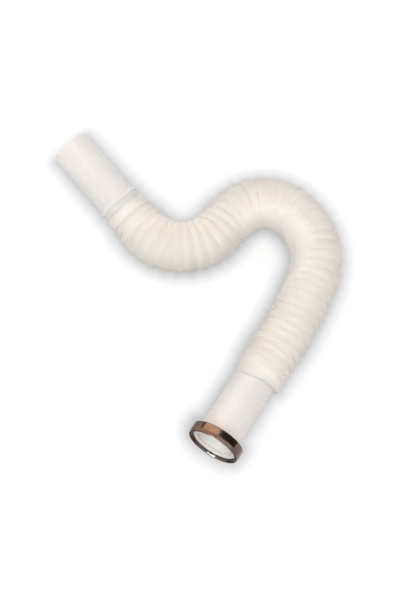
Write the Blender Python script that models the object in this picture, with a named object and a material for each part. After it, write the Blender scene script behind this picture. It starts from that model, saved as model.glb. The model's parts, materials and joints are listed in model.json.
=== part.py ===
"""A flexible sink trap: a pleated waste hose between two smooth tubes, with a threaded slip nut at its inlet.

The pipe's centre line is followed from the mouth of the nut back to the free end of the outlet spigot. It is a chain of
straight stretches and bends, counted in pleats of the hose. The turned pieces are profiles spun about that line, and the
hose is a stack of rings that stand square to it. Lengths are in metres, angles in degrees, and +Z is up.
"""

import math

import bmesh
import bpy
import numpy as np
from mathutils import Matrix, Vector

# Clearance between pieces that touch or slide on each other
CLEARANCE = 0.0003

# Inlet tailpiece, which the nut's lip holds by its flange
TAIL_OUTER_RADIUS = 0.02075
TAIL_WALL = 0.0020
TAIL_FLANGE_REACH = 0.00255
TAIL_FLANGE_THICKNESS = 0.0028
TAIL_FLANGE_ROUNDING = 0.0006
TAIL_VISIBLE_LENGTH = 0.0713
TAIL_FLANGE_RADIUS = TAIL_OUTER_RADIUS + TAIL_FLANGE_REACH

# Slip nut for a 1 1/2 inch waste: its mouth faces away from the hose, and its thread clears the tailpiece's flange
NUT_WALL = 0.0039
NUT_HEIGHT = 0.0112
NUT_MOUTH_FLARE = 0.0013
NUT_MOUTH_CHAMFER = 0.0012
NUT_FRONT_BEVEL = 0.0036
NUT_FRONT_BEVEL_DEPTH = 0.0010
NUT_BACK_BEVEL = 0.0006
NUT_LIP = 0.0024
NUT_THREAD_RADIUS = TAIL_FLANGE_RADIUS + CLEARANCE
NUT_MOUTH_RADIUS = NUT_THREAD_RADIUS + NUT_MOUTH_FLARE
NUT_OUTER_RADIUS = NUT_THREAD_RADIUS + NUT_WALL

# Flat seal in front of the flange
WASHER_THICKNESS = 0.0025

# Hose: a thin blown wall in pleats, with a plain cuff at each end
PLEAT_PITCH = 0.00928
PLEAT_DEPTH = 0.0040
CREST_RADIUS = 0.0256
SHOULDER_DROP = 0.0009
SHOULDER_PLACE = 0.25
HOSE_WALL = 0.0012
INLET_CUFF_LENGTH = 0.0086
OUTLET_CUFF_LENGTH = 0.0120
END_PLEATS = 3
END_CREST_DROP = 0.0018
FOLDED_PITCH_SHARE = 0.25
FOLDED_DEPTH_SHARE = 0.20

# Outlet spigot, with the bead that stops it at the hose's cuff
SPIGOT_OUTER_RADIUS = 0.0200
SPIGOT_WALL = 0.0020
SPIGOT_VISIBLE_LENGTH = 0.0775
SPIGOT_BEAD_HEIGHT = 0.0021
SPIGOT_BEAD_WIDTH = 0.0032
SPIGOT_END_CHAMFER = 0.0008

# Depth that each tube reaches into its cuff
TUBE_INSERT = 0.0075

# Centre line of the hose from the inlet cuff to the outlet cuff: pleats, turn to the left, rise
HOSE_STRETCHES = (
    (4, 0.0, 4.5),
    (8, 9.0, 0.0),
    (9, 75.0, 0.0),
    (7, 86.0, 0.0),
    (2, 0.0, 0.0),
    (9, -96.5, 0.0),
    (3, 0.0, 14.0),
)
TAIL_DROP = 4.5

# Fineness of the curved surfaces
TURNED_SEGMENTS = 48
HOSE_SEGMENTS = 20
ROUTE_STEP = 0.00025
SMOOTH_ANGLE = math.radians(40.0)


def clear_scene():
    for item in list(bpy.data.objects):
        bpy.data.objects.remove(item, do_unlink=True)


def principled(name, color, roughness, metallic=0.0):
    material = bpy.data.materials.new(name)
    material.use_nodes = True
    shader = material.node_tree.nodes["Principled BSDF"]
    shader.inputs["Base Color"].default_value = (*color, 1.0)
    shader.inputs["Roughness"].default_value = roughness
    shader.inputs["Metallic"].default_value = metallic
    return material


class Route:
    """The pipe's centre line, by distance from the mouth of the nut."""

    def __init__(self, stretches):
        lengths = [length for length, _, _ in stretches]
        marks = np.cumsum([0.0, *lengths])
        headings = np.radians(90.0 + np.cumsum([0.0, *[turn for _, turn, _ in stretches]]))
        climbs = np.radians(-TAIL_DROP + np.cumsum([0.0, *[rise for _, _, rise in stretches]]))
        self.distances = np.arange(0.0, marks[-1] + ROUTE_STEP, ROUTE_STEP)
        self.headings = np.interp(self.distances, marks, headings)
        self.climbs = np.interp(self.distances, marks, climbs)
        steps = self.directions() * ROUTE_STEP
        middles = (steps[1:] + steps[:-1]) / 2
        self.centres = np.vstack([np.zeros(3), np.cumsum(middles, axis=0)])

    def directions(self):
        level = np.cos(self.climbs)
        return np.column_stack(
            [level * np.cos(self.headings), level * np.sin(self.headings), np.sin(self.climbs)]
        )

    def angles(self, distance):
        heading = float(np.interp(distance, self.distances, self.headings))
        climb = float(np.interp(distance, self.distances, self.climbs))
        return heading, climb

    def frame(self, distance):
        """Where a ring stands: Z runs along the route, X points to its left and Y upwards."""
        heading, climb = self.angles(distance)
        along = Vector((
            math.cos(climb) * math.cos(heading),
            math.cos(climb) * math.sin(heading),
            math.sin(climb),
        ))
        left = Vector((-math.sin(heading), math.cos(heading), 0.0))
        up = along.cross(left)
        centre = [float(np.interp(distance, self.distances, self.centres[:, axis])) for axis in range(3)]
        matrix = Matrix((left, up, along)).transposed().to_4x4()
        matrix.translation = centre
        return matrix

    def bending(self, distance):
        """How sharply the route turns to its left and upwards, in radians per metre, averaged over a few pleats."""
        reach = 1.5 * PLEAT_PITCH
        heading_before, climb_before = self.angles(distance - reach)
        heading_after, climb_after = self.angles(distance + reach)
        return (heading_after - heading_before) / (2 * reach), (climb_after - climb_before) / (2 * reach)


def object_from_mesh(name, mesh, material, matrix, parent):
    item = bpy.data.objects.new(name, mesh)
    bpy.context.scene.collection.objects.link(item)
    mesh.materials.append(material)
    item.parent = parent
    item.matrix_local = matrix
    return item


def turned(name, profile, material, matrix, parent):
    """A closed profile of (radius, height) points, down the outer side and up the inner, spun about local Z."""
    mesh = bpy.data.meshes.new(name)
    corners = [(radius, 0.0, height) for radius, height in profile]
    sides = [(index, (index + 1) % len(corners)) for index in range(len(corners))]
    mesh.from_pydata(corners, sides, [])
    item = object_from_mesh(name, mesh, material, matrix, parent)
    spin = item.modifiers.new("Spin", "SCREW")
    spin.axis = "Z"
    spin.angle = math.tau
    spin.steps = TURNED_SEGMENTS
    spin.render_steps = TURNED_SEGMENTS
    spin.use_merge_vertices = True
    spin.merge_threshold = 0.00001
    spin.use_smooth_shade = False
    return item


def nut_profile():
    """Mouth at height 0, lip at the back, with the thread's bore between them."""
    lip_radius = TAIL_OUTER_RADIUS + CLEARANCE
    front_radius = NUT_OUTER_RADIUS - NUT_FRONT_BEVEL_DEPTH
    return [
        (NUT_OUTER_RADIUS - NUT_BACK_BEVEL, NUT_HEIGHT),
        (NUT_OUTER_RADIUS, NUT_HEIGHT - NUT_BACK_BEVEL),
        (NUT_OUTER_RADIUS, NUT_FRONT_BEVEL),
        (front_radius, 0.0),
        (NUT_MOUTH_RADIUS, 0.0),
        (NUT_THREAD_RADIUS, NUT_MOUTH_CHAMFER),
        (NUT_THREAD_RADIUS, NUT_HEIGHT - NUT_LIP),
        (lip_radius, NUT_HEIGHT - NUT_LIP),
        (lip_radius, NUT_HEIGHT),
    ]


def flange_front():
    """Distance of the flange's front face from the mouth of the nut."""
    return NUT_HEIGHT - NUT_LIP - CLEARANCE - TAIL_FLANGE_THICKNESS


def tail_end():
    """Distance at which the hose's inlet cuff begins."""
    return NUT_HEIGHT + TAIL_VISIBLE_LENGTH


def tail_profile():
    front = flange_front()
    back = front + TAIL_FLANGE_THICKNESS
    end = tail_end() + TUBE_INSERT
    bore = TAIL_OUTER_RADIUS - TAIL_WALL
    return [
        (TAIL_OUTER_RADIUS, end),
        (TAIL_OUTER_RADIUS, back),
        (TAIL_FLANGE_RADIUS - TAIL_FLANGE_ROUNDING, back),
        (TAIL_FLANGE_RADIUS, back - TAIL_FLANGE_ROUNDING),
        (TAIL_FLANGE_RADIUS, front),
        (bore, front),
        (bore, end),
    ]


def washer_profile():
    back = flange_front() - CLEARANCE
    front = back - WASHER_THICKNESS
    bore = TAIL_OUTER_RADIUS - TAIL_WALL
    return [(TAIL_FLANGE_RADIUS, back), (TAIL_FLANGE_RADIUS, front), (bore, front), (bore, back)]


def spigot_profile():
    """Free end at height 0, so the piece's own Z runs back towards the hose."""
    bore = SPIGOT_OUTER_RADIUS - SPIGOT_WALL
    stop = SPIGOT_VISIBLE_LENGTH
    bead_start = stop - SPIGOT_BEAD_WIDTH
    bead_radius = SPIGOT_OUTER_RADIUS + SPIGOT_BEAD_HEIGHT
    bead_flat = SPIGOT_BEAD_WIDTH / 4
    end = stop + CLEARANCE + TUBE_INSERT
    return [
        (SPIGOT_OUTER_RADIUS, end),
        (SPIGOT_OUTER_RADIUS, stop),
        (bead_radius - SPIGOT_BEAD_HEIGHT / 4, stop),
        (bead_radius, stop - bead_flat),
        (bead_radius, bead_start + bead_flat),
        (SPIGOT_OUTER_RADIUS, bead_start),
        (SPIGOT_OUTER_RADIUS, SPIGOT_END_CHAMFER),
        (SPIGOT_OUTER_RADIUS - SPIGOT_END_CHAMFER, 0.0),
        (bore, 0.0),
        (bore, end),
    ]


def pleat_count():
    return sum(count for count, _, _ in HOSE_STRETCHES)


def crest_radius(pleat):
    """Full size along the hose, and lower on the last few pleats before each cuff."""
    from_end = min(pleat, pleat_count() - 1 - pleat)
    ease = max(0.0, 1.0 - from_end / END_PLEATS)
    return CREST_RADIUS - END_CREST_DROP * ease * ease


def pleat_openness(radius, angle, bending):
    """Share of the pleat's depth that stays open at this angle round the hose: less on the inner side of a bend."""
    turn, rise = bending
    pitch_share = 1.0 - radius * (turn * math.cos(angle) + rise * math.sin(angle))
    opened = (pitch_share - FOLDED_PITCH_SHARE) / (1.0 - FOLDED_PITCH_SHARE)
    return min(1.0, max(FOLDED_DEPTH_SHARE, opened))


def hose_rings(route):
    """Rings of the hose as (distance, radius at each angle), along the outside and then back along the inside."""
    angles = [math.tau * index / HOSE_SEGMENTS for index in range(HOSE_SEGMENTS)]
    first = tail_end() + INLET_CUFF_LENGTH
    last = first + pleat_count() * PLEAT_PITCH
    inner_valley = CREST_RADIUS - PLEAT_DEPTH - HOSE_WALL

    def plain(distance, radius):
        return distance, [radius] * HOSE_SEGMENTS

    def valley_ring(pleat, crest):
        distance = first + pleat * PLEAT_PITCH
        bending = route.bending(distance)
        depth = crest - (CREST_RADIUS - PLEAT_DEPTH)
        return distance, [crest - depth * pleat_openness(crest, angle, bending) for angle in angles]

    def inner_crest_ring(pleat):
        distance = first + (pleat + 0.5) * PLEAT_PITCH
        bending = route.bending(distance)
        crest = crest_radius(pleat)
        depth = crest - HOSE_WALL - inner_valley
        return distance, [inner_valley + depth * pleat_openness(crest, angle, bending) for angle in angles]

    inlet_bore = TAIL_OUTER_RADIUS + CLEARANCE
    outlet_bore = SPIGOT_OUTER_RADIUS + CLEARANCE
    rings = [plain(tail_end(), inlet_bore + HOSE_WALL)]
    rings.append(plain(first - HOSE_WALL, inlet_bore + HOSE_WALL))
    for pleat in range(pleat_count()):
        crest = crest_radius(pleat)
        start = first + pleat * PLEAT_PITCH
        lower_crest = min(crest, crest_radius(max(0, pleat - 1)))
        rings.append(valley_ring(pleat, lower_crest))
        rings.append(plain(start + SHOULDER_PLACE * PLEAT_PITCH, crest - SHOULDER_DROP))
        rings.append(plain(start + 0.5 * PLEAT_PITCH, crest))
        rings.append(plain(start + (1.0 - SHOULDER_PLACE) * PLEAT_PITCH, crest - SHOULDER_DROP))
    rings.append(valley_ring(pleat_count(), crest_radius(pleat_count() - 1)))
    rings.append(plain(last + OUTLET_CUFF_LENGTH, outlet_bore + HOSE_WALL))
    rings.append(plain(last + OUTLET_CUFF_LENGTH, outlet_bore))
    rings.append(plain(last + HOSE_WALL, outlet_bore))
    for pleat in reversed(range(pleat_count())):
        rings.append(plain(first + (pleat + 1) * PLEAT_PITCH, inner_valley))
        rings.append(inner_crest_ring(pleat))
    rings.append(plain(first, inner_valley))
    rings.append(plain(first - HOSE_WALL, inlet_bore))
    rings.append(plain(tail_end(), inlet_bore))
    return rings


def hose_mesh(route):
    """Joins each ring to the next, and the last back to the first, so that the thin wall is one closed skin."""
    skin = bmesh.new()
    loops = []
    for distance, radii in hose_rings(route):
        frame = route.frame(distance)
        loop = []
        for index, radius in enumerate(radii):
            angle = math.tau * index / HOSE_SEGMENTS
            loop.append(skin.verts.new(frame @ Vector((radius * math.cos(angle), radius * math.sin(angle), 0.0))))
        loops.append(loop)
    for ring, following in zip(loops, loops[1:] + loops[:1]):
        for index in range(HOSE_SEGMENTS):
            beside = (index + 1) % HOSE_SEGMENTS
            skin.faces.new((ring[index], ring[beside], following[beside], following[index]))
    bmesh.ops.recalc_face_normals(skin, faces=skin.faces)
    mesh = bpy.data.meshes.new("corrugated_hose")
    skin.to_mesh(mesh)
    skin.free()
    return mesh


def box_corners(items):
    """Lowest and highest corners of the box round all the pieces, in the world."""
    bpy.context.view_layer.update()
    graph = bpy.context.evaluated_depsgraph_get()
    points = []
    for item in items:
        evaluated = item.evaluated_get(graph)
        mesh = evaluated.to_mesh()
        points.extend(item.matrix_world @ vertex.co for vertex in mesh.vertices)
        evaluated.to_mesh_clear()
    places = np.array(points)
    return places.min(axis=0), places.max(axis=0)


def build():
    clear_scene()
    hard_plastic = principled("hard white plastic", (0.88, 0.86, 0.82), 0.32)
    soft_plastic = principled("cream hose plastic", (0.85, 0.80, 0.73), 0.42)
    plated_brass = principled("chromed brass", (0.62, 0.56, 0.52), 0.12, metallic=1.0)
    seal_plastic = principled("white seal", (0.86, 0.85, 0.82), 0.50)

    hose_end = tail_end() + INLET_CUFF_LENGTH + pleat_count() * PLEAT_PITCH + OUTLET_CUFF_LENGTH
    free_end = hose_end + CLEARANCE + SPIGOT_VISIBLE_LENGTH
    stretches = [(tail_end() + INLET_CUFF_LENGTH, 0.0, 0.0)]
    stretches += [(count * PLEAT_PITCH, turn, rise) for count, turn, rise in HOSE_STRETCHES]
    stretches.append((free_end - sum(length for length, _, _ in stretches), 0.0, 0.0))
    route = Route(stretches)

    trap = bpy.data.objects.new("trap_origin", None)
    bpy.context.scene.collection.objects.link(trap)
    mouth = route.frame(0.0)
    outlet = route.frame(free_end) @ Matrix.Rotation(math.pi, 4, "Y")
    pieces = [
        turned("coupling_nut", nut_profile(), plated_brass, mouth, trap),
        turned("inlet_tailpiece", tail_profile(), hard_plastic, mouth, trap),
        turned("sealing_washer", washer_profile(), seal_plastic, mouth, trap),
        turned("outlet_spigot", spigot_profile(), hard_plastic, outlet, trap),
        object_from_mesh("corrugated_hose", hose_mesh(route), soft_plastic, Matrix.Identity(4), trap),
    ]
    for piece in pieces:
        piece.data.shade_smooth()
        piece.data.set_sharp_from_angle(angle=SMOOTH_ANGLE)

    low, high = box_corners(pieces)
    trap.location = (-(low[0] + high[0]) / 2, -(low[1] + high[1]) / 2, -low[2])


build()
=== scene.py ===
# %% [markdown]
# # A pleated sink trap, and how to dress it
#
# This trap is a bellows hose of soft plastic between two smooth tubes, with a chromed nut at its inlet.
# A CAD model of it is loaded first and stays as it is. Everything after that gives it the surfaces that
# a camera sees: fine pleats in place of coarse ones, rounded edges, a thread, and a finish for each
# material. All lengths are in metres.

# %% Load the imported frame
import json
import math

import bmesh
import bpy
import numpy as np
from mathutils import Matrix, Vector


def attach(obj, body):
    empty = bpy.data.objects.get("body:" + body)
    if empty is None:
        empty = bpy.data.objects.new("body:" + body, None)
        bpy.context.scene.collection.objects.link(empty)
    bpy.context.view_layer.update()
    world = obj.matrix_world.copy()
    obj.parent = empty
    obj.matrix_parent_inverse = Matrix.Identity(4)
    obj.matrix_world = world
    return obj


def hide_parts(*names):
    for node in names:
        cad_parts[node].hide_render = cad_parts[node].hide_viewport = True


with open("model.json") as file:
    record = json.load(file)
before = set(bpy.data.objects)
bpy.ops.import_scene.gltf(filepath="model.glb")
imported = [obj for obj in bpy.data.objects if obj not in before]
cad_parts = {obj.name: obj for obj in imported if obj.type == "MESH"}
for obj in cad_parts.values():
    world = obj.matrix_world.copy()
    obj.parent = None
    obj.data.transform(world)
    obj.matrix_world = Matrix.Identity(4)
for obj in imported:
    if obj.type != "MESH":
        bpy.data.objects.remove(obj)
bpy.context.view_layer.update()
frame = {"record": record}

# %% [markdown]
# ## The pipe's route
#
# Every piece of the trap is strung on one line, so the line comes first. It starts at the middle of the
# nut's mouth, where the nut turns, and runs back through the hose to the free end of the outlet tube. A
# drawn curve could hold it, but a chain of bends counted in pleats is how the trap itself is bent, so
# that is how it is kept here. Each stretch also says how far its pleats are folded shut on the inner
# side of the bend.

# %% Route from the stretches of the hose
PLEAT_PITCH = 0.00928
INLET_CUFF = 0.0086
OUTLET_CUFF = 0.0120
TAIL_LENGTH = 0.0825
OUTLET_LENGTH = 0.0775
CLEARANCE = 0.0003
TAIL_DROP = math.radians(4.5)

# pleats, turn to the left in degrees, rise in degrees, folding from 0 to 1
STRETCHES = (
    (4, 0.0, 4.5, 0.0),
    (8, 9.0, 0.0, 0.0),
    (9, 75.0, 0.0, 0.95),
    (7, 86.0, 0.0, 0.30),
    (2, 0.0, 0.0, 0.1),
    (9, -96.5, 0.0, 0.15),
    (3, 0.0, 14.0, 0.0),
)
PLEATS = sum(count for count, _, _, _ in STRETCHES)
HOSE_LENGTH = INLET_CUFF + PLEATS * PLEAT_PITCH + OUTLET_CUFF
MOUTH = Vector(frame["record"]["behaviour"]["joints"][0]["pos_m"])
STRAIGHT_UP = Vector((0.0, 0.0, 1.0))
STEP = 0.00025


class Route:
    """The pipe's centre line, by distance from the mouth of the nut."""

    def __init__(self):
        pleated = [count * PLEAT_PITCH for count, _, _, _ in STRETCHES]
        lengths = [TAIL_LENGTH + INLET_CUFF, *pleated, OUTLET_CUFF + CLEARANCE + OUTLET_LENGTH]
        turns = [0.0, *[turn for _, turn, _, _ in STRETCHES], 0.0]
        rises = [0.0, *[rise for _, _, rise, _ in STRETCHES], 0.0]
        self.marks = np.cumsum([0.0, *lengths])
        self.distances = np.arange(0.0, self.marks[-1] + STEP, STEP)
        heading_marks = np.radians(90.0 + np.cumsum([0.0, *turns]))
        climb_marks = -TAIL_DROP + np.radians(np.cumsum([0.0, *rises]))
        headings = np.interp(self.distances, self.marks, heading_marks)
        climbs = np.interp(self.distances, self.marks, climb_marks)
        level = np.cos(climbs)
        self.along = np.column_stack([level * np.cos(headings), level * np.sin(headings), np.sin(climbs)])
        middles = (self.along[1:] + self.along[:-1]) / 2 * STEP
        self.centres = np.array(MOUTH) + np.vstack([np.zeros(3), np.cumsum(middles, axis=0)])

    def place(self, distance):
        """A matrix whose Z runs along the route, with X level to its left and Y upwards."""
        index = int(round(distance / STEP))
        along = Vector(self.along[index]).normalized()
        left = STRAIGHT_UP.cross(along).normalized()
        matrix = Matrix((left, along.cross(left), along)).transposed().to_4x4()
        matrix.translation = [np.interp(distance, self.distances, centres) for centres in self.centres.T]
        return matrix


route = Route()
total_length = float(route.marks[-1])
print(f"route of {total_length:.3f} m with {PLEATS} pleats, free end at", route.centres[-1].round(4))

# %% [markdown]
# ## Sums between sockets
#
# A node tree is easier to read as a sum than as a list of nodes. This class wraps one socket, and the
# usual signs on it add Math nodes, or Vector Math nodes where it carries a vector. It works in shader
# trees and in Geometry Nodes alike, because both share those nodes. Any other node comes from the
# tree's add method, which takes the node's type, then its settings, then what goes into its sockets.

# %% A socket that can be reckoned with
def operation(name, out=0):
    """A method that adds one Math or Vector Math node, with the wire as its first term."""
    return lambda self, *others: self.maths(name, self, *others, out=out)


class Wire:
    """One output socket of a node tree, with Python's signs for sums."""

    __add__ = operation("ADD")
    __sub__ = operation("SUBTRACT")
    __truediv__ = operation("DIVIDE")
    __pow__ = operation("POWER")
    __mod__ = operation("FLOORED_MODULO")
    floor = operation("FLOOR")
    absolute = operation("ABSOLUTE")
    sin = operation("SINE")
    cos = operation("COSINE")
    least = operation("MINIMUM")
    most = operation("MAXIMUM")
    above = operation("GREATER_THAN")
    cross = operation("CROSS_PRODUCT")
    unit = operation("NORMALIZE")
    dot = operation("DOT_PRODUCT", "Value")

    def __init__(self, tree, socket):
        self.tree = tree
        self.socket = socket

    def is_vector(self):
        return self.socket.type in ("VECTOR", "RGBA")

    def maths(self, name, *terms, out=0):
        vector = any(isinstance(term, Wire) and term.is_vector() for term in terms)
        kind = "ShaderNodeVectorMath" if vector else "ShaderNodeMath"
        return self.tree.add(kind, {"operation": name}, dict(enumerate(terms)), out)

    def __mul__(self, other):
        if isinstance(other, Wire) and other.is_vector() and not self.is_vector():
            return other * self
        if self.is_vector() and not (isinstance(other, Wire) and other.is_vector()):
            sockets = {0: self, "Scale": other}
            return self.tree.add("ShaderNodeVectorMath", {"operation": "SCALE"}, sockets)
        return self.maths("MULTIPLY", self, other)

    def __rmul__(self, other):
        return self * other

    def __radd__(self, other):
        return self.maths("ADD", other, self)

    def __rsub__(self, other):
        return self.maths("SUBTRACT", other, self)

    def held(self, low=0.0, high=1.0):
        return self.most(low).least(high)

    def eased(self, low, high):
        """0 below low, 1 above high, and a soft step between them."""
        settings = {"interpolation_type": "SMOOTHSTEP"}
        sockets = {"Value": self, "From Min": low, "From Max": high}
        return self.tree.add("ShaderNodeMapRange", settings, sockets)


class Tree:
    """A node tree, with one way to add a node."""

    def __init__(self, nodes_of):
        self.nodes_of = nodes_of

    def feed(self, socket, value):
        if isinstance(value, Wire):
            self.nodes_of.links.new(value.socket, socket)
        else:
            socket.default_value = value

    def add(self, kind, settings=None, sockets=None, out=0):
        node = self.nodes_of.nodes.new(kind)
        for name, value in (settings or {}).items():
            setattr(node, name, value)
        for key, value in (sockets or {}).items():
            if kind == "ShaderNodeVectorMath" and key != "Scale" and isinstance(value, (int, float)):
                value = (value, value, value)
            self.feed(node.inputs[key], value)
        return Wire(self, node.outputs[out])

    def mix(self, factor, first, second):
        """Between two colours, or two numbers, by a factor."""
        if isinstance(first, (int, float)) and isinstance(second, (int, float)):
            return self.add("ShaderNodeMix", {"data_type": "FLOAT"}, {0: factor, 2: first, 3: second})
        return self.add("ShaderNodeMix", {"data_type": "RGBA"}, {0: factor, 6: first, 7: second}, 2)

    def mark(self, name, out="Fac"):
        """What a tree stored on each point under this name, for a material to read."""
        return self.add("ShaderNodeAttribute", {"attribute_name": name}, out=out)

    def vector(self, x, y, z):
        return self.add("ShaderNodeCombineXYZ", None, {0: x, 1: y, 2: z})

    def parts(self, vector):
        node = self.add("ShaderNodeSeparateXYZ", None, {0: vector}).socket.node
        return [Wire(self, socket) for socket in node.outputs]


# %% [markdown]
# ## Building pieces with Geometry Nodes
#
# Both shapes in this trap follow a rule, a wall swept along a line and a profile spun about one, so
# Geometry Nodes make them. A flat grid of points is the clay for both: its long way becomes the rings
# and its short way the turn round each ring, and one sum says where each point goes. The helper below
# makes a tree with named inputs, and the next one runs a tree on a mesh and keeps the result as a plain
# mesh.

# %% A geometry tree, and a way to run it
MERGE_DISTANCE = 0.00001


def data_type(value):
    """Geometry Nodes' name for the kind of value that a wire carries."""
    return "FLOAT_VECTOR" if value.is_vector() else "FLOAT"


class GeometryTree(Tree):
    """A Geometry Nodes tree with a geometry, some named sizes and a material as inputs."""

    def __init__(self, name, *sizes):
        group = bpy.data.node_groups.new(name, "GeometryNodeTree")
        super().__init__(group)
        group.interface.new_socket("Geometry", in_out="INPUT", socket_type="NodeSocketGeometry")
        for label in sizes:
            group.interface.new_socket(label, in_out="INPUT", socket_type="NodeSocketFloat")
        group.interface.new_socket("Material", in_out="INPUT", socket_type="NodeSocketMaterial")
        group.interface.new_socket("Geometry", in_out="OUTPUT", socket_type="NodeSocketGeometry")
        self.entry = group.nodes.new("NodeGroupInput")
        self.exit = group.nodes.new("NodeGroupOutput")

    def given(self, label):
        return Wire(self, self.entry.outputs[label])

    def grid(self, rings, around):
        """Grid points with their ring number and their place round the ring, both from zero."""
        mesh = self.add("GeometryNodeMeshGrid", None, {"Vertices X": rings, "Vertices Y": around + 1})
        index = self.add("GeometryNodeInputIndex")
        ring = ((index + 0.5) / (around + 1)).floor()
        return mesh, ring, index - ring * (around + 1)

    def moved(self, mesh, position):
        return self.add("GeometryNodeSetPosition", None, {"Geometry": mesh, "Position": position})

    def named(self, name):
        return self.add("GeometryNodeInputNamedAttribute", {"data_type": "FLOAT"}, {"Name": name})

    def stored(self, mesh, name, value):
        settings = {"data_type": data_type(value), "domain": "POINT"}
        sockets = {"Geometry": mesh, "Name": name, "Value": value}
        return self.add("GeometryNodeStoreNamedAttribute", settings, sockets)

    def finish(self, mesh):
        """Close the seams, shade it smooth, and give it its material."""
        seams = {"Geometry": mesh, "Distance": MERGE_DISTANCE}
        whole = self.add("GeometryNodeMergeByDistance", None, seams)
        smooth = self.add("GeometryNodeSetShadeSmooth", None, {"Geometry": whole})
        real = self.add("GeometryNodeRealizeInstances", None, {"Geometry": smooth})
        sockets = {"Geometry": real, "Material": self.given("Material")}
        self.feed(self.exit.inputs["Geometry"], self.add("GeometryNodeSetMaterial", None, sockets))


def new_object(name, data):
    """An object in the scene that shows this data."""
    item = bpy.data.objects.new(name, data)
    bpy.context.scene.collection.objects.link(item)
    return item


def line_mesh(name, points, marks):
    """A chain of points joined by edges, with one number for each point under each name in marks."""
    mesh = bpy.data.meshes.new(name)
    edges = [(n, n + 1) for n in range(len(points) - 1)]
    mesh.from_pydata([tuple(point) for point in points], edges, [])
    for label, values in marks.items():
        mesh.attributes.new(label, "FLOAT", "POINT").data.foreach_set("value", values)
    return mesh


def run_tree(name, source, tree, values, matrix=None, closed=True):
    """Runs a tree on a source mesh, and returns an object that holds the result as a plain mesh."""
    maker = new_object(name + ".maker", source)
    modifier = maker.modifiers.new("Nodes", "NODES")
    modifier.node_group = tree.nodes_of
    for item in tree.nodes_of.interface.items_tree:
        if item.in_out == "INPUT" and item.name in values:
            modifier[item.identifier] = values[item.name]
    graph = bpy.context.evaluated_depsgraph_get()
    mesh = bpy.data.meshes.new_from_object(maker.evaluated_get(graph))
    mesh.name = name
    maker.modifiers.remove(modifier)
    bpy.data.objects.remove(maker)
    if matrix is not None:
        mesh.transform(matrix)
    if closed:
        point_outwards(mesh)
    piece = new_object(name, mesh)
    triangles = sum(len(face.vertices) - 2 for face in mesh.polygons)
    print(f"{name}: {len(mesh.vertices)} points, {triangles} triangles")
    return piece


def point_outwards(mesh):
    """Turns a closed skin's faces so that it holds a volume above zero."""
    skin = bmesh.new()
    skin.from_mesh(mesh)
    bmesh.ops.recalc_face_normals(skin, faces=skin.faces)
    open_edges = sum(1 for edge in skin.edges if not edge.is_manifold)
    if skin.calc_volume(signed=True) < 0:
        bmesh.ops.reverse_faces(skin, faces=skin.faces)
    print(f"volume {skin.calc_volume(signed=True) * 1e6:.1f} ml, open edges {open_edges}")
    skin.to_mesh(mesh)
    skin.free()


# %% [markdown]
# ## Colours and finishes
#
# The trap has four finishes. Moulded plastic is never one flat colour: it clouds a little, carries fine
# scuffs along the way it was handled, and is duller where it has rubbed. All of these read a place that
# the trees store on each point, called local: the piece as it would lie if it were straight and
# upright. Patterns then follow the tube round every bend. The base shader is Principled, because its
# plain sockets survive an export.

# %% A material maker
class Finish(Tree):
    """A Principled material's node tree, with the piece's own straightened place at hand."""

    def __init__(self, name, **constants):
        self.material = bpy.data.materials.new(name)
        self.material.use_nodes = True
        super().__init__(self.material.node_tree)
        self.shader = self.nodes_of.nodes["Principled BSDF"]
        for label, value in constants.items():
            self.shader.inputs[label.replace("_", " ")].default_value = value
        self.local = self.mark("local", "Vector")

    def noise(self, scale, detail=3.0, roughness=0.5, place=None):
        sockets = {"Vector": place or self.local, "Scale": scale, "Detail": detail, "Roughness": roughness}
        return self.add("ShaderNodeTexNoise", None, sockets, out="Fac")

    def bump(self, height, distance, strength=1.0, under=None):
        sockets = {"Strength": strength, "Distance": distance, "Height": height}
        if under is not None:
            sockets["Normal"] = under
        return self.add("ShaderNodeBump", None, sockets, out="Normal")

    def from_axis(self):
        """How far the place lies from the piece's own axis, and how far along it."""
        x, y, z = self.parts(self.local)
        return (x * x + y * y) ** 0.5, z

    def wear(self, **wires):
        for label, value in wires.items():
            self.feed(self.shader.inputs[label.replace("_", " ")], value)


def rgb(red, green, blue):
    return (red, green, blue, 1.0)


# %% [markdown]
# ### Smooth tube plastic
#
# The two tubes are injection moulded in a white, glossy plastic. Such a surface shows soft clouding,
# hairline scuffs that run along the tube, and a faint ripple where the melt cooled. The scuffs are
# noise squeezed round the tube and stretched along it. They change the gloss more than the colour, as
# on the real thing.

# %% Smooth tube plastic
def tube_plastic():
    finish = Finish("smooth tube plastic", Specular_IOR_Level=0.5, IOR=1.46, Subsurface_Weight=0.6,
                    Subsurface_Radius=(1.0, 0.92, 0.85), Subsurface_Scale=0.005)
    finish.shader.subsurface_method = "BURLEY"
    cloud = finish.noise(38.0, 4.0)
    x, y, z = finish.parts(finish.local)
    scuff = finish.noise(420.0, 2.0, 0.6, finish.vector(x * 5.0, y * 5.0, z * 0.35)).eased(0.56, 0.74)
    dust = finish.noise(900.0, 1.0).eased(0.70, 0.80)
    clean = finish.mix(cloud.eased(0.30, 0.70), rgb(0.815, 0.788, 0.772), rgb(0.800, 0.768, 0.742))
    base = finish.mix(dust * 0.15, clean, rgb(0.72, 0.67, 0.60))
    ripple = finish.noise(70.0, 2.0, place=finish.vector(x, y, z * 0.4))
    relief = finish.bump(ripple, 0.00010, 0.25)
    grain = finish.bump(finish.noise(1600.0, 2.0), 0.00003, 0.2, relief)
    finish.wear(Base_Color=base, Roughness=0.25 + scuff * 0.07 + cloud * 0.06, Normal=grain)
    return finish.material
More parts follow.
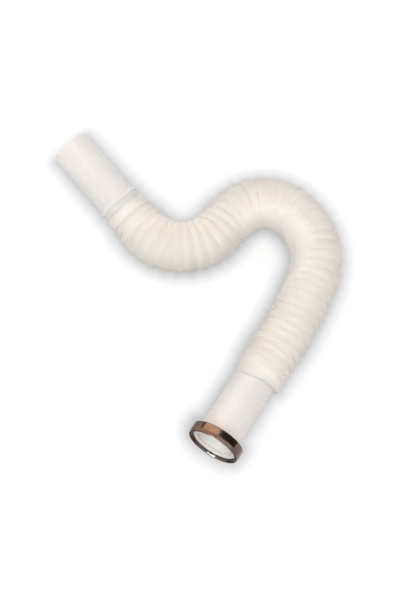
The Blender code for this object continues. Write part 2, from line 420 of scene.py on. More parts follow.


# %% [markdown]
# ### Hose plastic
#
# The hose is blown from a softer plastic, creamier than the tubes and with a satin skin like fine
# orange peel. Its colour carries painted shade in two places: it is painted a little darker where the
# pleats stand open, and darker again in the deep notches low on the sides. The crests, which touch
# everything, are scuffed a little duller. The tree that makes the pleats stores how open and how deep
# each point lies, so the material only has to read those marks.

# %% Hose plastic
# how dark the painted shade gets where the pleats stand open, and in the deep notches low on the sides
OPEN_SHADE = 0.84
LOW_NOTCH_SHADE = 0.72


def hose_plastic():
    finish = Finish("satin hose plastic", Specular_IOR_Level=0.4, IOR=1.49, Subsurface_Weight=1.0,
                    Subsurface_Radius=(1.0, 0.90, 0.80), Subsurface_Scale=0.013)
    finish.shader.subsurface_method = "BURLEY"
    notch = finish.mark("notch")
    cloud = finish.noise(26.0, 4.0)
    speck = finish.noise(700.0, 2.0).eased(0.66, 0.80)
    clean = finish.mix(cloud.eased(0.28, 0.72), rgb(0.836, 0.798, 0.754), rgb(0.817, 0.773, 0.720))
    # painted shade: the colour is darker where the pleats stand open
    open_pleat_shaded = finish.mix(finish.mark("open"), clean, clean * OPEN_SHADE)
    # painted shade: darker in the deep notches low on the sides, not on top
    low_notch_shaded = finish.mix(finish.mark("low_notch"), open_pleat_shaded, open_pleat_shaded * LOW_NOTCH_SHADE)
    base = finish.mix(speck * 0.20, low_notch_shaded, rgb(0.62, 0.56, 0.48))
    rubbed = finish.noise(160.0, 3.0, 0.6).eased(0.45, 0.75) * (1.0 - notch)
    crease = finish.mark("crease") * (1.0 - finish.mark("crest").eased(0.04, 0.30))
    folded = finish.bump(1.0 - crease, 0.0006, 0.5)
    peel = finish.bump(finish.noise(1100.0, 2.0), 0.00005, 0.5, folded)
    finish.wear(Base_Color=base, Roughness=0.40 + rubbed * 0.16 + notch * 0.08, Normal=peel)
    return finish.material


# %% [markdown]
# ### Chromed brass
#
# The nut is turned brass under thin chrome. Its skin is a mirror, but a used one: faint rings from
# polishing, cloudy finger marks that only show in the gloss, and warm brass breathing through along the
# edges, where the plating is thinnest. The profile stores an edge mark at each rounded corner, which
# places that wear.

# %% Chromed brass
def chrome():
    finish = Finish("chromed brass", Metallic=1.0)
    edge = finish.mark("edge")
    radius, z = finish.from_axis()
    rings = finish.noise(900.0, 2.0, place=finish.vector(radius * 9.0, z * 9.0, 0.0))
    smudge = finish.noise(120.0, 4.0, 0.6).eased(0.40, 0.72)
    worn = (edge * finish.noise(240.0, 3.0).eased(0.42, 0.62)).held()
    clean = finish.mix(smudge, rgb(0.165, 0.122, 0.100), rgb(0.135, 0.098, 0.078))
    base = finish.mix(worn * 0.6, clean, rgb(0.20, 0.13, 0.08))
    relief = finish.bump(rings, 0.00002, 0.25)
    finish.wear(Base_Color=base, Roughness=0.15 + smudge * 0.08 + worn * 0.12, Normal=relief)
    return finish.material


# %% [markdown]
# ### The flat seal
#
# The ring in the nut's mouth is a soft white seal, cut from sheet. It is matt, with faint rings pressed
# in by the flange behind it and small pits from the cutting.

# %% Flat seal
PRESSED_RING_PITCH = 0.0012083


def seal_rubber():
    finish = Finish("white seal", Specular_IOR_Level=0.35)
    radius, _ = finish.from_axis()
    pressed = (radius * (math.tau / PRESSED_RING_PITCH)).sin() * 0.5 + 0.5
    cloud = finish.noise(90.0, 3.0)
    pits = finish.noise(1300.0, 2.0).eased(0.62, 0.78)
    base = finish.mix(cloud.eased(0.3, 0.7), rgb(0.690, 0.668, 0.646), rgb(0.655, 0.630, 0.602))
    relief = finish.bump(pressed - pits * 0.8, 0.00006, 0.5)
    finish.wear(Base_Color=base, Roughness=0.52 + pits * 0.15, Normal=relief)
    return finish.material


tube_finish = tube_plastic()
hose_finish = hose_plastic()
chrome_finish = chrome()
seal_finish = seal_rubber()
print("finishes:", [item.name for item in (tube_finish, hose_finish, chrome_finish, seal_finish)])

# %% [markdown]
# ## The bellows hose
#
# A bellows is one thin wall that waves in and out. When it bends, the pleats fan open on the outer side
# and fold shut on the inner side, where the wall turns nearly smooth. An array of rings can't do that,
# since each ring is different all the way round, so the tree works it out point by point. It asks the
# route how sharply it bends there, compares that with the point's own direction, and lets the notch be
# as deep as the answer allows. The soft wall also bulges a little towards the outer side of its bends,
# and two short rules push the centre line out by that much.

# %% Sizes of the hose
CREST_RADIUS = 0.0259
PLEAT_DEPTH = 0.0036
HOSE_WALL = 0.0012
INLET_CUFF_BORE = 0.02085
OUTLET_CUFF_BORE = 0.0203
END_PLEATS = 3.0
END_CREST_DROP = 0.0018
INLET_CREST_DROP = 0.0032
CUFF_SLANT_TOP = 0.0050
CUFF_SLANT_SIDE = 0.0026
HOSE_SEGMENTS = 90
CUFF_RINGS = 12
OUTER_RINGS = 14
INNER_RINGS = 7
print(f"hose of {HOSE_LENGTH:.3f} m, crests {2.0 * CREST_RADIUS:.4f} m across")

# %% [markdown]
# The form of a pleat is a few plain rules on top of those sizes. The numbers below say how the rings
# crowd near a notch, where a bend squeezes the pleats or stretches them flat, how sharp the notches
# are, and how the cuffs run into the pleats. They are shares of a full notch or a full turn, unless a
# length is meant.

# %% Rules of the pleats
# rings, near a notch and near a cuff's end
RING_CROWDING = 0.35
CUFF_CROWDING = 1.5
# bends: the length they are read over, then how far pleats are squeezed, spread and shut
BEND_REACH = 1.5 * PLEAT_PITCH
PRESSED_SHARE = 0.25
LEAST_SQUEEZED = 0.20
STRETCH_FLATTENING = 0.9
LEAST_SPREAD = 0.4
SHUT_START = 0.55
SHUT_WIDTH = 0.5
SHUT_SHIFT = 0.75
SHUT_DEPTH = 0.92
STRETCHED_PLEATS = 1.5
CREST_ROUNDING = 1.1
# cuffs: the length they ease over, how thin the inlet's edge gets, and its swell to the first pleat
CUFF_EASE = 0.0022
CUFF_THINNING = 0.9
CUFF_THIN_TO = 1.6
CUFF_SWELL_ROUNDING = 0.6
# how narrowly the painted shade keeps to the deepest notches
LOW_NOTCH_POWER = 5.0
print(f"bends are read over {2000.0 * BEND_REACH:.1f} mm of the route")


# %% Where each ring stands
def phase_sine(phase):
    """Rises from 0 at a notch to 1 at the crest, and stays above zero, so that a root of it is safe."""
    return (phase * math.pi).sin().held()


class RingPlace:
    """The cuff or pleat a ring stands in, closer together near a cuff's end and near each notch."""

    def __init__(self, ring, pleats, pitch, rings_per_pleat):
        cuff_rings = float(CUFF_RINGS)
        pleat_rings = pleats * float(rings_per_pleat)
        self.into_inlet = ((ring - 1.0) / (cuff_rings - 1.0)).held()
        self.in_pleats = ((ring - cuff_rings) / float(rings_per_pleat)).most(0.0).least(pleats)
        self.into_outlet = ((ring - cuff_rings - pleat_rings) / (cuff_rings - 1.0)).held()
        self.pleat = self.in_pleats.least(pleats - 0.001).floor()
        phase = self.in_pleats - self.pleat
        self.crowded = phase - (phase * math.tau).sin() * (RING_CROWDING / math.tau)
        run = self.into_inlet ** CUFF_CROWDING * INLET_CUFF
        run = run + (self.pleat + self.crowded) * pitch
        self.run = run + (1.0 - (1.0 - self.into_outlet) ** CUFF_CROWDING) * OUTLET_CUFF
        self.at_outlet = self.in_pleats.above(PLEATS / 2.0)
        self.at_inlet = 1.0 - self.at_outlet
        past_inlet_cuff = ring.above(cuff_rings - 0.5)
        in_outlet_cuff = ring.above(pleat_rings + cuff_rings + 0.5)
        self.in_cuff = 1.0 - past_inlet_cuff * (1.0 - in_outlet_cuff)


# %% How the route bends there, and how open that leaves the pleat
class RoutePlace:
    """The route at a distance along the hose, and what its bend does to one side of a pleat."""

    def __init__(self, tree, line, run, angle, crest_radius):
        def sample(distance, out, **more):
            settings = {"mode": "LENGTH", "use_all_curves": False, "data_type": "FLOAT"}
            sockets = {"Curves": line, "Length": distance, **more}
            return tree.add("GeometryNodeSampleCurve", settings, sockets, out)

        self.centre = sample(run, "Position")
        self.along = sample(run, "Tangent").unit()
        before = sample(run - BEND_REACH, "Tangent")
        beyond = sample(run + BEND_REACH, "Tangent")
        bend = (beyond - before) / (2.0 * BEND_REACH)
        left = tree.vector(*STRAIGHT_UP).cross(self.along).unit()
        up = self.along.cross(left)
        self.outward = left * angle.cos() + up * angle.sin()

        # 1 where the wall is free, little on the inner side of a bend
        self.inner = self.outward.dot(bend.unit())
        share = 1.0 - self.outward.dot(bend) * crest_radius
        squeezed = ((share - PRESSED_SHARE) / (1.0 - PRESSED_SHARE)).held(LEAST_SQUEEZED, 1.0)
        spread = (1.0 - STRETCH_FLATTENING * (share - 1.0)).held(LEAST_SPREAD, 1.0)
        self.folding = sample(run, "Value", Value=tree.named("fold"))
        shut_from = SHUT_START - self.folding * SHUT_SHIFT
        self.shut = self.inner.eased(shut_from, shut_from + SHUT_WIDTH) * self.folding.eased(0.0, 0.25)
        self.openness = squeezed * spread * (1.0 - self.shut * SHUT_DEPTH)


# %% Tree of the hose
def hose_wall(tree, line, rings_per_pleat, inset):
    """Adds the nodes of one wall of the hose, set in from its outer skin by inset."""
    pleats = tree.given("Pleats")
    crest_radius = tree.given("Crest radius")
    around = tree.given("Segments")
    count = pleats * float(rings_per_pleat) + (2.0 * CUFF_RINGS + 1.0)
    mesh, ring, side = tree.grid(count, around)
    angle = side * math.tau / around
    at = RingPlace(ring, pleats, tree.given("Pitch"), rings_per_pleat)
    on = RoutePlace(tree, line, at.run, angle, crest_radius)

    # The wave: round crests and softer notches. The crests are lower at the outlet, and at the inlet
    # only on the inner side of the joint there, where the first pleat is stretched flat
    to_right = tree.vector(1.0, 0.0, 0.0)
    outer_side = on.outward.dot(to_right).eased(-0.5, 0.6)
    flat_side = (1.0 - outer_side) * at.at_inlet
    near_outlet = (1.0 - (pleats - 1.0 - at.pleat) / END_PLEATS).held() ** 2.0
    near_inlet = (1.0 - at.in_pleats / END_PLEATS).held() ** 2.0
    crest = crest_radius - near_outlet * END_CREST_DROP - near_inlet * flat_side * INLET_CREST_DROP
    unstretched = 1.0 - (1.0 - at.in_pleats / STRETCHED_PLEATS).held() * flat_side
    wave = 1.0 - phase_sine(at.crowded) ** CREST_ROUNDING
    notch = wave * on.openness * unstretched
    pleated = crest - (crest - (crest_radius - tree.given("Depth"))) * notch

    # The cuffs are plain, with a rounded end, and ease into the first and the last notch
    bore = tree.mix(at.at_outlet, INLET_CUFF_BORE, OUTLET_CUFF_BORE)
    to_pleats = at.at_inlet * (1.0 - at.into_inlet) * INLET_CUFF
    to_pleats = to_pleats + at.at_outlet * at.into_outlet * OUTLET_CUFF
    taper = CUFF_THINNING * at.at_inlet * (1.0 - at.into_inlet * CUFF_THIN_TO).held()
    plain = bore + (1.0 - taper) * HOSE_WALL
    cuff = pleated + (plain - pleated) * to_pleats.eased(0.0, CUFF_EASE)
    swell = phase_sine(at.run / INLET_CUFF) ** CUFF_SWELL_ROUNDING * (crest_radius - plain)
    swell = swell * outer_side * at.at_inlet
    outer = pleated + (cuff + swell - pleated) * at.in_cuff

    # The rim: the first and the last ring close the wall at the bore
    last = count - 1.0
    rim = (1.0 - ring.above(0.5)) + ring.above(last - 0.5)
    wall = (outer - inset).most(bore * at.in_cuff)
    radius = wall + (bore - wall) * rim
    over = on.outward.dot(tree.vector(*STRAIGHT_UP)).held()
    slant = over * CUFF_SLANT_TOP + (1.0 - outer_side) * CUFF_SLANT_SIDE
    slant = slant * (1.0 - at.into_inlet) * at.at_inlet
    mesh = tree.moved(mesh, on.centre + on.outward * radius - on.along * slant)

    # What the material reads: each mark is a number on every point
    on_pleats = 1.0 - at.in_cuff
    marks = {
        "notch": notch * on_pleats,
        # low_notch drives painted shade in the deep notches low on the sides
        "low_notch": notch ** LOW_NOTCH_POWER * on_pleats * (1.0 - over.eased(0.05, 0.70)),
        # open drives the painted shade where the pleats stand open
        "open": on.openness * unstretched * on_pleats,
        "crest": (at.crowded * 2.0 - 1.0).absolute() + at.in_cuff,
        "crease": (on.inner + 0.35).held() * on.folding.eased(0.05, 0.35) * (1.0 - on.shut),
        "local": tree.vector(angle.cos() * radius, angle.sin() * radius, at.run),
    }
    for name, value in marks.items():
        mesh = tree.stored(mesh, name, value)
    return mesh


# %% The two walls joined
def hose_tree():
    sizes = ("Pleats", "Segments", "Pitch", "Crest radius", "Depth", "Wall")
    tree = GeometryTree("Bellows hose", *sizes)
    line = tree.add("GeometryNodeMeshToCurve", None, {"Mesh": tree.given("Geometry")})
    outer = hose_wall(tree, line, OUTER_RINGS, 0.0)
    inner = hose_wall(tree, line, INNER_RINGS, tree.given("Wall"))
    turned = tree.add("GeometryNodeFlipFaces", None, {"Mesh": inner})
    both = tree.nodes_of.nodes.new("GeometryNodeJoinGeometry")
    tree.nodes_of.links.new(outer.socket, both.inputs[0])
    tree.nodes_of.links.new(turned.socket, both.inputs[0])
    tree.finish(Wire(tree, both.outputs[0]))
    return tree


# %% The hose itself
# Two bulges of the soft pleats, each from one distance to another and so far to the left of the route
BULGES = ((0.092, 0.345, -0.0021), (0.350, 0.465, 0.0013))
BULGE_FADE = 0.045


def bulge(distances, start, end, to_left):
    """Grows softly from nothing at start to to_left, and back to nothing at end."""
    share = np.clip(np.minimum(distances - start, end - distances) / BULGE_FADE, 0.0, 1.0)
    return to_left * share * share * (3.0 - 2.0 * share)


hose_start = TAIL_LENGTH
hose_end = hose_start + HOSE_LENGTH
on_hose = (route.distances >= hose_start - STEP / 2) & (route.distances <= hose_end + STEP / 2)
distances = route.distances[on_hose]
along_hose = route.along[on_hose]
sideways = sum(bulge(distances, *extent) for extent in BULGES)
level_left = np.column_stack([-along_hose[:, 1], along_hose[:, 0], np.zeros(len(along_hose))])
hose_points = route.centres[on_hose] + level_left * sideways[:, None]
stretch_middles = (route.marks[1:-2] + route.marks[2:-1]) / 2
folds = np.interp(distances, stretch_middles, [fold for _, _, _, fold in STRETCHES])
hose_line = line_mesh("hose_line", hose_points, {"fold": folds})
hose_values = {
    "Pleats": float(PLEATS), "Segments": float(HOSE_SEGMENTS), "Pitch": PLEAT_PITCH,
    "Crest radius": CREST_RADIUS, "Depth": PLEAT_DEPTH, "Wall": HOSE_WALL, "Material": hose_finish,
}
pleated_hose = run_tree("pleated_hose", hose_line, hose_tree(), hose_values)

# %% [markdown]
# ## Turned pieces
#
# The nut, the seal and both tubes are all a profile spun about a line. Screw or Spin could turn them,
# but the nut also needs a thread, which is a wave that climbs as it goes round. One tree does both. It
# reads the profile point by point, spins it, and pushes in the points that carry a thread mark by a
# wave of height and angle. Corners are rounded beforehand, with a spare point beyond each curve so that
# smooth shading leaves the flat faces flat.

# %% Rounded profiles
ARC_POINTS = 4
SPARE_REACH = 1.4
SPARE_LIMIT = 0.48


def rounded(corners):
    """A closed profile of (radius, height, rounding) corners, as (radius, height, edge mark) points."""
    points = []
    for index, (radius, height, cut) in enumerate(corners):
        if cut == 0.0:
            points.append((radius, height, 0.0))
            continue
        here = Vector((radius, height))
        before = Vector(corners[index - 1][:2]) - here
        after = Vector(corners[(index + 1) % len(corners)][:2]) - here
        start, end = [here + side.normalized() * cut for side in (before, after)]
        spare_start, spare_end = [
            here + side.normalized() * min(cut * SPARE_REACH, side.length * SPARE_LIMIT)
            for side in (before, after)
        ]
        points.append((*spare_start, 0.0))
        for step in range(ARC_POINTS + 1):
            share = step / ARC_POINTS
            first = start.lerp(here, share)
            place = first.lerp(here.lerp(end, share), share)
            points.append((*place, 1.0))
        points.append((*spare_end, 0.0))
    return points


def profile_mesh(name, points, threaded=()):
    """The profile as a closed chain of points; those whose index is in threaded carry the thread."""
    loop = [*points, points[0]]
    thread = [1.0 if index % len(points) in threaded else 0.0 for index in range(len(loop))]
    marks = {"edge": [mark for _, _, mark in loop], "thread": thread}
    return line_mesh(name, [(radius, 0.0, height) for radius, height, _ in loop], marks)


# %% Tree of a turned piece
THREAD_FLANK = 1.25
TURNED_SEGMENTS = 96


def turned_tree():
    tree = GeometryTree("Turned piece", "Points", "Segments", "Thread pitch", "Thread depth")
    profile = tree.given("Geometry")
    around = tree.given("Segments")
    mesh, ring, side = tree.grid(tree.given("Points"), around)

    def on_profile(value):
        settings = {"data_type": data_type(value), "domain": "POINT"}
        sockets = {"Geometry": profile, "Value": value, "Index": ring}
        return tree.add("GeometryNodeSampleIndex", settings, sockets)

    place = on_profile(tree.add("GeometryNodeInputPosition"))
    edge = on_profile(tree.named("edge"))
    thread = on_profile(tree.named("thread"))
    radius, _, height = tree.parts(place)
    angle = side * math.tau / around
    turn = (height / tree.given("Thread pitch") - side / around) % 1.0
    groove = 1.0 - ((turn * 2.0 - 1.0).absolute() * THREAD_FLANK).held()
    radius = radius + groove * thread * tree.given("Thread depth")
    local = tree.vector(radius * angle.cos(), radius * angle.sin(), height)
    mesh = tree.moved(mesh, local)
    mesh = tree.stored(mesh, "edge", edge)
    mesh = tree.stored(mesh, "local", local)
    tree.finish(mesh)
    return tree


spinner = turned_tree()


def turned(name, points, finish, matrix, segments=TURNED_SEGMENTS, threaded=(), pitch=1.0, depth=0.0):
    source = profile_mesh(name + "_profile", points, threaded)
    values = {"Points": float(len(points) + 1), "Segments": float(segments), "Thread pitch": pitch,
              "Thread depth": depth, "Material": finish}
    return run_tree(name, source, spinner, values, matrix)


# %% [markdown]
# ### The slip nut
#
# The nut is a thin chromed ring. Its front edge is bevelled, its mouth is chamfered, and behind the
# mouth a coarse pipe thread of eleven and a half turns to the inch climbs to the lip that holds the
# tube's flange. The thread is cut into the wall, so that the seal and the flange still pass inside it.

# %% Slip nut
TAIL_RADIUS = 0.02075
TUBE_WALL = 0.0020
FLANGE_RADIUS = 0.0233
FLANGE_THICKNESS = 0.0028
THREAD_RADIUS = 0.0236
NUT_WALL = 0.0039
NUT_HEIGHT = 0.0112
NUT_LIP = 0.0024
MOUTH_FLARE = 0.0013
MOUTH_CHAMFER = 0.0012
FRONT_BEVEL = 0.0036
FRONT_BEVEL_DEPTH = 0.0010
THREADS_PER_INCH = 11.5
THREAD_PITCH = 0.0254 / THREADS_PER_INCH
THREAD_DEPTH = 0.0009
THREAD_RINGS = 44
NUT_SEGMENTS = 144

nut_outer = THREAD_RADIUS + NUT_WALL
lip_radius = TAIL_RADIUS + CLEARANCE
back_of_thread = NUT_HEIGHT - NUT_LIP
nut_points = rounded([
    (lip_radius, NUT_HEIGHT, 0.0004),
    (nut_outer, NUT_HEIGHT, 0.0007),
    (nut_outer, FRONT_BEVEL, 0.0005),
    (nut_outer - FRONT_BEVEL_DEPTH, 0.0, 0.0005),
    (THREAD_RADIUS + MOUTH_FLARE, 0.0, 0.0006),
    (THREAD_RADIUS, MOUTH_CHAMFER, 0.0),
])
thread_start = len(nut_points)
for ring in range(1, THREAD_RINGS):
    share = ring / THREAD_RINGS
    nut_points.append((THREAD_RADIUS, MOUTH_CHAMFER + (back_of_thread - MOUTH_CHAMFER) * share, 0.0))
thread_rings = range(thread_start, len(nut_points))
nut_points.append((THREAD_RADIUS, back_of_thread, 0.0))
nut_points.append((lip_radius, back_of_thread, 0.0))
mouth = route.place(0.0)
thread_sizes = (NUT_SEGMENTS, thread_rings, THREAD_PITCH, THREAD_DEPTH)
slip_nut = turned("slip_nut", nut_points, chrome_finish, mouth, *thread_sizes)

# %% [markdown]
# ### The seal and the tubes
#
# The seal is a plain flat ring, and the inlet tube behind it ends in the flange that the nut pulls on.
# The outlet tube carries a rounded bead where it stops against the hose's cuff, and its free end is
# slightly rounded, so that it slides into a wall pipe. Each is one rounded profile, spun by the tree
# above.

# %% Seal and inlet tube
WASHER_THICKNESS = 0.0025
TUBE_INSERT = 0.0075

flange_front = back_of_thread - CLEARANCE - FLANGE_THICKNESS
flange_back = back_of_thread - CLEARANCE
tail_bore = TAIL_RADIUS - TUBE_WALL
seal_back = flange_front - CLEARANCE
seal_front = seal_back - WASHER_THICKNESS
seal_points = rounded([
    (FLANGE_RADIUS, seal_back, 0.0002),
    (FLANGE_RADIUS, seal_front, 0.0004),
    (tail_bore, seal_front, 0.0004),
    (tail_bore, seal_back, 0.0002),
])
flat_seal = turned("flat_seal", seal_points, seal_finish, mouth)

tail_end = TAIL_LENGTH + TUBE_INSERT
inlet_points = rounded([
    (TAIL_RADIUS, tail_end, 0.0005),
    (TAIL_RADIUS, flange_back, 0.0004),
    (FLANGE_RADIUS, flange_back, 0.0006),
    (FLANGE_RADIUS, flange_front, 0.0002),
    (tail_bore, flange_front, 0.0003),
    (tail_bore, tail_end, 0.0004),
])
inlet_tube = turned("inlet_tube", inlet_points, tube_finish, mouth)

# %% Outlet tube
OUTLET_RADIUS = 0.0200
BEAD_HEIGHT = 0.0018
BEAD_WIDTH = 0.0032

outlet_bore = OUTLET_RADIUS - TUBE_WALL
outlet_end = OUTLET_LENGTH + CLEARANCE + TUBE_INSERT
outlet_points = rounded([
    (OUTLET_RADIUS, outlet_end, 0.0005),
    (OUTLET_RADIUS, OUTLET_LENGTH, 0.0),
    (OUTLET_RADIUS + BEAD_HEIGHT, OUTLET_LENGTH, 0.0009),
    (OUTLET_RADIUS + BEAD_HEIGHT, OUTLET_LENGTH - BEAD_WIDTH * 0.75, 0.0009),
    (OUTLET_RADIUS, OUTLET_LENGTH - BEAD_WIDTH, 0.0007),
    (OUTLET_RADIUS, 0.0, 0.0008),
    (outlet_bore, 0.0, 0.0005),
    (outlet_bore, outlet_end, 0.0004),
])
free_end = route.place(total_length) @ Matrix.Rotation(math.pi, 4, "Y")
outlet_tube = turned("outlet_tube", outlet_points, tube_finish, free_end)

# %% [markdown]
# ## Stand the pieces on the frame
#
# Each dressed piece rides on the CAD body that carries the real one and takes over from the CAD piece
# it covers. The CAD pieces stay hidden in their places, for contact and weight.

# %% Ride and replace
DRESSING = (
    (slip_nut, "nut", "coupling_nut", "plated_brass"),
    (flat_seal, "trap", "sealing_washer", "seal"),
    (inlet_tube, "trap", "inlet_tailpiece", "hard_plastic"),
    (pleated_hose, "trap", "corrugated_hose", "hose_plastic"),
    (outlet_tube, "trap", "outlet_spigot", "hard_plastic"),
)
for piece, body, node, slot in DRESSING:
    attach(piece, body)
    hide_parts(node)
print("dressed:", [piece.name for piece, _, _, _ in DRESSING])

# %% [markdown]
# ## Camera
#
# The camera looks down steeply from a little to the right of the nut's mouth. Its place follows from
# two angles, a distance and the point it looks at, and its lens from the size of the trap in the
# picture. It comes before the light, because the light stands round it.

# %% Camera
AZIMUTH = math.radians(30.86)
ELEVATION = math.radians(69.0)
DISTANCE = 1.8
TARGET = Vector((0.0425, -0.0126, 0.0256))
FOCAL_FRAME_HEIGHTS = 1802.0 / 600.0
SENSOR_HEIGHT = 24.0

level_reach = math.cos(ELEVATION)
towards_camera = Vector((
    math.sin(AZIMUTH) * level_reach,
    -math.cos(AZIMUTH) * level_reach,
    math.sin(ELEVATION),
))
camera_data = bpy.data.cameras.new("camera")
camera_data.sensor_fit = "VERTICAL"
camera_data.sensor_height = SENSOR_HEIGHT
camera_data.lens = SENSOR_HEIGHT * FOCAL_FRAME_HEIGHTS
camera_data.clip_start = 0.01
camera = new_object("camera", camera_data)
camera.location = TARGET + towards_camera * DISTANCE
camera.rotation_euler = (-towards_camera).to_track_quat("-Z", "Y").to_euler()
bpy.context.scene.camera = camera
bpy.context.scene.view_settings.view_transform = "Standard"
picture_right = STRAIGHT_UP.cross(towards_camera).normalized()
picture_up = towards_camera.cross(picture_right)
camera_place = [round(value, 3) for value in camera.location]
print("camera at", camera_place, "lens", round(camera_data.lens, 1), "mm")

# %% [markdown]
# ## Floor
#
# The trap lies on a white sweep. A white floor under soft light alone comes out grey next to a white
# object, so the camera and every mirror see part of it as glowing paper, while the light that bounces
# off it onto the trap comes from a darker, slightly warm colour. The floor keeps the shadow that falls
# on it, and carries a painted shadow as well: an even rim of shade about the whole trap, as light from
# round the lens leaves. Geometry Nodes place that painted rim: they press the pieces flat on the floor
# along the line of sight, store on each point of a fine sheet how near it lies to them, and the floor's
# colour is painted darker by that nearness.

# %% Floor
FLOOR_HALF = 3.0
SHEET_HALF = 0.25
SHEET_POINTS = 201
SHEET_LEVEL = -0.0001
FLOOR_LEVEL = -0.0003
# the reach and softness of the floor's painted shadow
SHADE_REACH = 0.020
SHADE_SOFTNESS = 1.75
PAPER = rgb(1.0, 1.0, 1.0)
PAINTED_SHADOW_COLOR = rgb(0.60, 0.603, 0.612)
BOUNCE_COLOR = rgb(0.60, 0.57, 0.54)
LIT_WHITE = 1.12
GLOWING_WHITE = 1.02
PAPER_GLOW = 0.7


def seen_rays(tree):
    """1 for the rays of the camera, of mirrors and of glass, 0 for the light that bounces."""
    rays = tree.add("ShaderNodeLightPath").socket.node
    names = ("Is Camera Ray", "Is Glossy Ray", "Is Transmission Ray")
    camera_ray, glossy_ray, transmission_ray = [Wire(tree, rays.outputs[name]) for name in names]
    return (camera_ray + glossy_ray + transmission_ray).held()


def bare_material(name):
    """A material without a shader, with its tree and the socket its surface goes into."""
    material = bpy.data.materials.new(name)
    material.use_nodes = True
    nodes = material.node_tree.nodes
    nodes.remove(nodes["Principled BSDF"])
    return material, Tree(material.node_tree), nodes["Material Output"].inputs["Surface"]


def floor_finish():
    material, tree, output = bare_material("white sweep")
    # painted shadow: the floor's colour is painted darker near the pieces, by the sheet's near mark
    shade = tree.mix(tree.mark("near") ** SHADE_SOFTNESS, PAPER, PAINTED_SHADOW_COLOR)
    seen = seen_rays(tree)
    color = tree.mix(seen, BOUNCE_COLOR, shade * LIT_WHITE)
    lit = tree.add("ShaderNodeBsdfDiffuse", None, {"Color": color})
    paper = tree.add("ShaderNodeEmission", None, {"Color": shade, "Strength": GLOWING_WHITE})
    surface = tree.add("ShaderNodeMixShader", None, {0: seen * PAPER_GLOW, 1: lit, 2: paper})
    tree.feed(output, surface)
    return material


# painted shadow: how near each sheet point lies to the pieces pressed flat along the line of sight
def painted_shade_tree():
    tree = GeometryTree("Rim of shade")
    place = tree.add("GeometryNodeInputPosition")
    height = tree.parts(place)[2]
    sight = tree.vector(*(towards_camera / towards_camera.z))
    pressed = tree.moved(tree.given("Geometry"), place - sight * height)
    sizes = {"Size X": 2.0 * SHEET_HALF, "Size Y": 2.0 * SHEET_HALF}
    points = {"Vertices X": SHEET_POINTS, "Vertices Y": SHEET_POINTS}
    sheet = tree.add("GeometryNodeMeshGrid", None, {**sizes, **points})
    distance = tree.add("GeometryNodeProximity", {"target_element": "FACES"}, {0: pressed}, "Distance")
    tree.finish(tree.stored(sheet, "near", 1.0 - (distance / SHADE_REACH).held()))
    return tree


def joined_mesh(name, pieces):
    """One mesh with the faces of several pieces."""
    whole = bmesh.new()
    for piece in pieces:
        whole.from_mesh(piece.data)
    mesh = bpy.data.meshes.new(name)
    whole.to_mesh(mesh)
    whole.free()
    return mesh


def panel(name, half_width, half_height, material):
    """A flat sheet that belongs to the studio and not to the trap, at the origin and facing up."""
    mesh = bpy.data.meshes.new(name)
    corners = [(-1, -1), (1, -1), (1, 1), (-1, 1)]
    mesh.from_pydata([(x * half_width, y * half_height, 0.0) for x, y in corners], [], [(0, 1, 2, 3)])
    mesh.materials.append(material)
    sheet = new_object(name, mesh)
    return sheet


white_sweep = floor_finish()
floor = panel("floor", FLOOR_HALF, FLOOR_HALF, white_sweep)
floor.location.z = FLOOR_LEVEL
dressed = joined_mesh("dressed", [piece for piece, _, _, _ in DRESSING])
painted_shade_sheet = run_tree("painted_shade_sheet", dressed, painted_shade_tree(), {"Material": white_sweep}, closed=False)
painted_shade_sheet.location.z = SHEET_LEVEL

# %% [markdown]
# ## Light
#
# The light is one wide soft glow round the camera, a little to its left, in a dimmer and slightly warm
# room. A sky can hold both, and has no edge that the gloss would show, as a lamp has. Light from where
# the camera stands hides most of the shadow behind the trap and leaves a soft rim of it all round, which
# the painted shadow on the floor deepens.
# Mirrors, like the camera, see the room as plain white.

# %% Sky
GLOW_STRENGTH = 1.26
ROOM_STRENGTH = 0.64
GLOW_UP = 0.03
GLOW_LEFT = 0.12
GLOW_EDGE = 0.10
GLOW_CORE = 0.95
GLOW_COLOR = rgb(1.0, 1.0, 1.0)
ROOM_COLOR = rgb(1.0, 0.955, 0.905)


def sky():
    world = bpy.data.worlds.new("soft studio")
    world.use_nodes = True
    tree = Tree(world.node_tree)
    direction = tree.add("ShaderNodeTexCoord", out="Generated")
    glow_centre = (towards_camera + picture_up * GLOW_UP - picture_right * GLOW_LEFT).normalized()
    glow = direction.dot(glow_centre).eased(GLOW_EDGE, GLOW_CORE)
    strength = glow * (GLOW_STRENGTH - ROOM_STRENGTH) + ROOM_STRENGTH
    seen = seen_rays(tree)
    background = world.node_tree.nodes["Background"]
    light = tree.mix(glow, ROOM_COLOR, GLOW_COLOR)
    tree.feed(background.inputs["Color"], tree.mix(seen, light, PAPER))
    tree.feed(background.inputs["Strength"], seen + (1.0 - seen) * strength)
    return world


bpy.context.scene.world = sky()
print("glow", GLOW_STRENGTH, "in a room of", ROOM_STRENGTH)

# %% [markdown]
# Polished metal shows whatever stands round it, and in a plain white room it looks like paint. So a
# studio puts cards round it. These hang about the nut in the directions that it mirrors towards the
# camera. Its band shows a warm bright card in the middle, a narrow dark one beside it, and a wide dark
# one for its right shoulder. Its front bevel shows a brown and a grey card, and three small bright ones
# draw glints on the rim. Two cards on the floor before and beside the nut darken what its lower side
# mirrors. Only glossy rays see any of them, so they neither light the trap nor throw a shadow.

# %% Cards for the metal
CARD_DISTANCE = 1.5


def glow_material(name, color, strength):
    material, tree, output = bare_material(name)
    tree.feed(output, tree.add("ShaderNodeEmission", None, {"Color": color, "Strength": strength}))
    return material


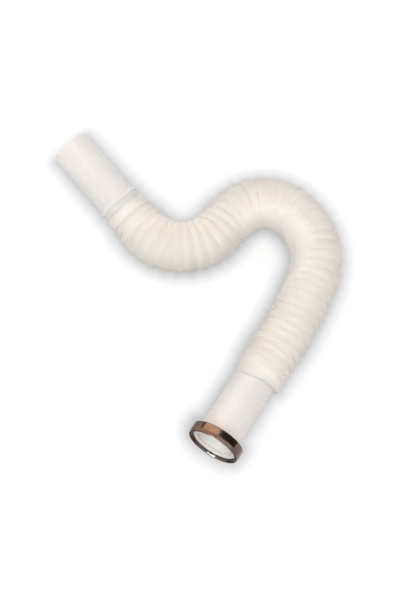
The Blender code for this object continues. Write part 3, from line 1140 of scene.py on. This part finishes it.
def mirrored_panel(name, half_width, half_height, color, strength):
    """A glowing sheet that only glossy rays see."""
    sheet = panel(name, half_width, half_height, glow_material(name, color, strength))
    for ray in ("camera", "diffuse", "transmission", "shadow"):
        setattr(sheet, "visible_" + ray, False)
    return sheet


def card(name, direction, half_width, half_height, color, strength, distance=CARD_DISTANCE):
    sheet = mirrored_panel(name, half_width, half_height, color, strength)
    towards = Vector(direction).normalized()
    across = Vector((0.0, 1.0, 0.0)).cross(towards).normalized()
    turn = Matrix((across, towards.cross(across), towards)).transposed().to_4x4()
    sheet.matrix_world = Matrix.Translation(MOUTH + towards * distance) @ turn


def around_nut(turn, lean):
    """A direction turned from straight up to the right and leant towards the hose, in degrees."""
    turn, lean = math.radians(turn), math.radians(lean)
    return math.sin(turn) * math.cos(lean), math.sin(lean), math.cos(turn) * math.cos(lean)


# %% Hang the cards
# name, turn and lean in degrees, half width, half height, colour, strength
CARDS = (
    ("warm card", -36, 18, 0.98, 0.34, rgb(1.0, 0.74, 0.55), 3.0),
    ("narrow dark card", -79, 18, 0.10, 0.30, rgb(0.02, 0.01, 0.01), 1.0),
    ("wide dark card", 49, 18, 1.62, 0.34, rgb(0.05, 0.03, 0.02), 1.0),
    ("brown card", -50, -11, 1.5, 0.36, rgb(1.0, 0.66, 0.47), 1.75),
    ("grey card", 38, -11, 1.05, 0.34, rgb(1.0, 0.92, 0.84), 1.6),
)
GLINTS = ((-0.27, -0.77, 0.61), (0.14, -0.79, 0.61), (-0.18, -0.95, 0.24))
GLINT_DISTANCE = 0.17
GLINT_HALF_SIZES = (0.011, 0.026)
GLINT_COLOR = rgb(0.62, 0.84, 1.0)
GLINT_STRENGTH = 75.0
# name, half width, half height, colour, strength, place from the mouth in X and Y, height above the floor
FLOOR_CARDS = (
    ("dark floor card", 0.16, 0.06, rgb(0.22, 0.19, 0.17), 1.0, (-0.03, -0.068), 0.0004),
    ("brown floor card", 0.06, 0.10, rgb(0.70, 0.60, 0.50), 1.0, (-0.115, 0.06), 0.0008),
)

for name, turn, lean, half_width, half_height, color, strength in CARDS:
    card(name, around_nut(turn, lean), half_width, half_height, color, strength)
for direction in GLINTS:
    look = (*GLINT_HALF_SIZES, GLINT_COLOR, GLINT_STRENGTH)
    card("small bright card", direction, *look, GLINT_DISTANCE)
for name, half_width, half_height, color, strength, (x, y), height in FLOOR_CARDS:
    sheet = mirrored_panel(name, half_width, half_height, color, strength)
    sheet.location = (MOUTH.x + x, MOUTH.y + y, height)
print("cards:", len(CARDS) + len(GLINTS) + len(FLOOR_CARDS))

# %% [markdown]
# The mouth of the nut looks away from the glow, so one narrow spot above and before it lights the bore,
# the way a reflector is held before a dark opening. Its cone is no wider than the mouth, so the tube
# behind stays as it is.

# %% Mouth lamp
MOUTH_LAMP_POWER = 3.1
MOUTH_LAMP_CONE = math.radians(7.0)
MOUTH_LAMP_BLEND = 0.7
MOUTH_LAMP_RADIUS = 0.006
MOUTH_LAMP_PLACE = Vector((0.0, -0.20, 0.33))
BORE_BOTTOM = Vector((0.0, 0.004, -0.012))

lamp_data = bpy.data.lights.new("mouth lamp", "SPOT")
lamp_data.spot_size = MOUTH_LAMP_CONE
lamp_data.spot_blend = MOUTH_LAMP_BLEND
lamp_data.shadow_soft_size = MOUTH_LAMP_RADIUS
lamp_data.energy = MOUTH_LAMP_POWER
mouth_lamp = new_object("mouth lamp", lamp_data)
mouth_lamp.location = MOUTH + MOUTH_LAMP_PLACE
aim = MOUTH + BORE_BOTTOM - mouth_lamp.location
mouth_lamp.rotation_euler = aim.to_track_quat("-Z", "Y").to_euler()
mouth_lamp.visible_glossy = False
print("mouth lamp at", [round(value, 3) for value in mouth_lamp.location])
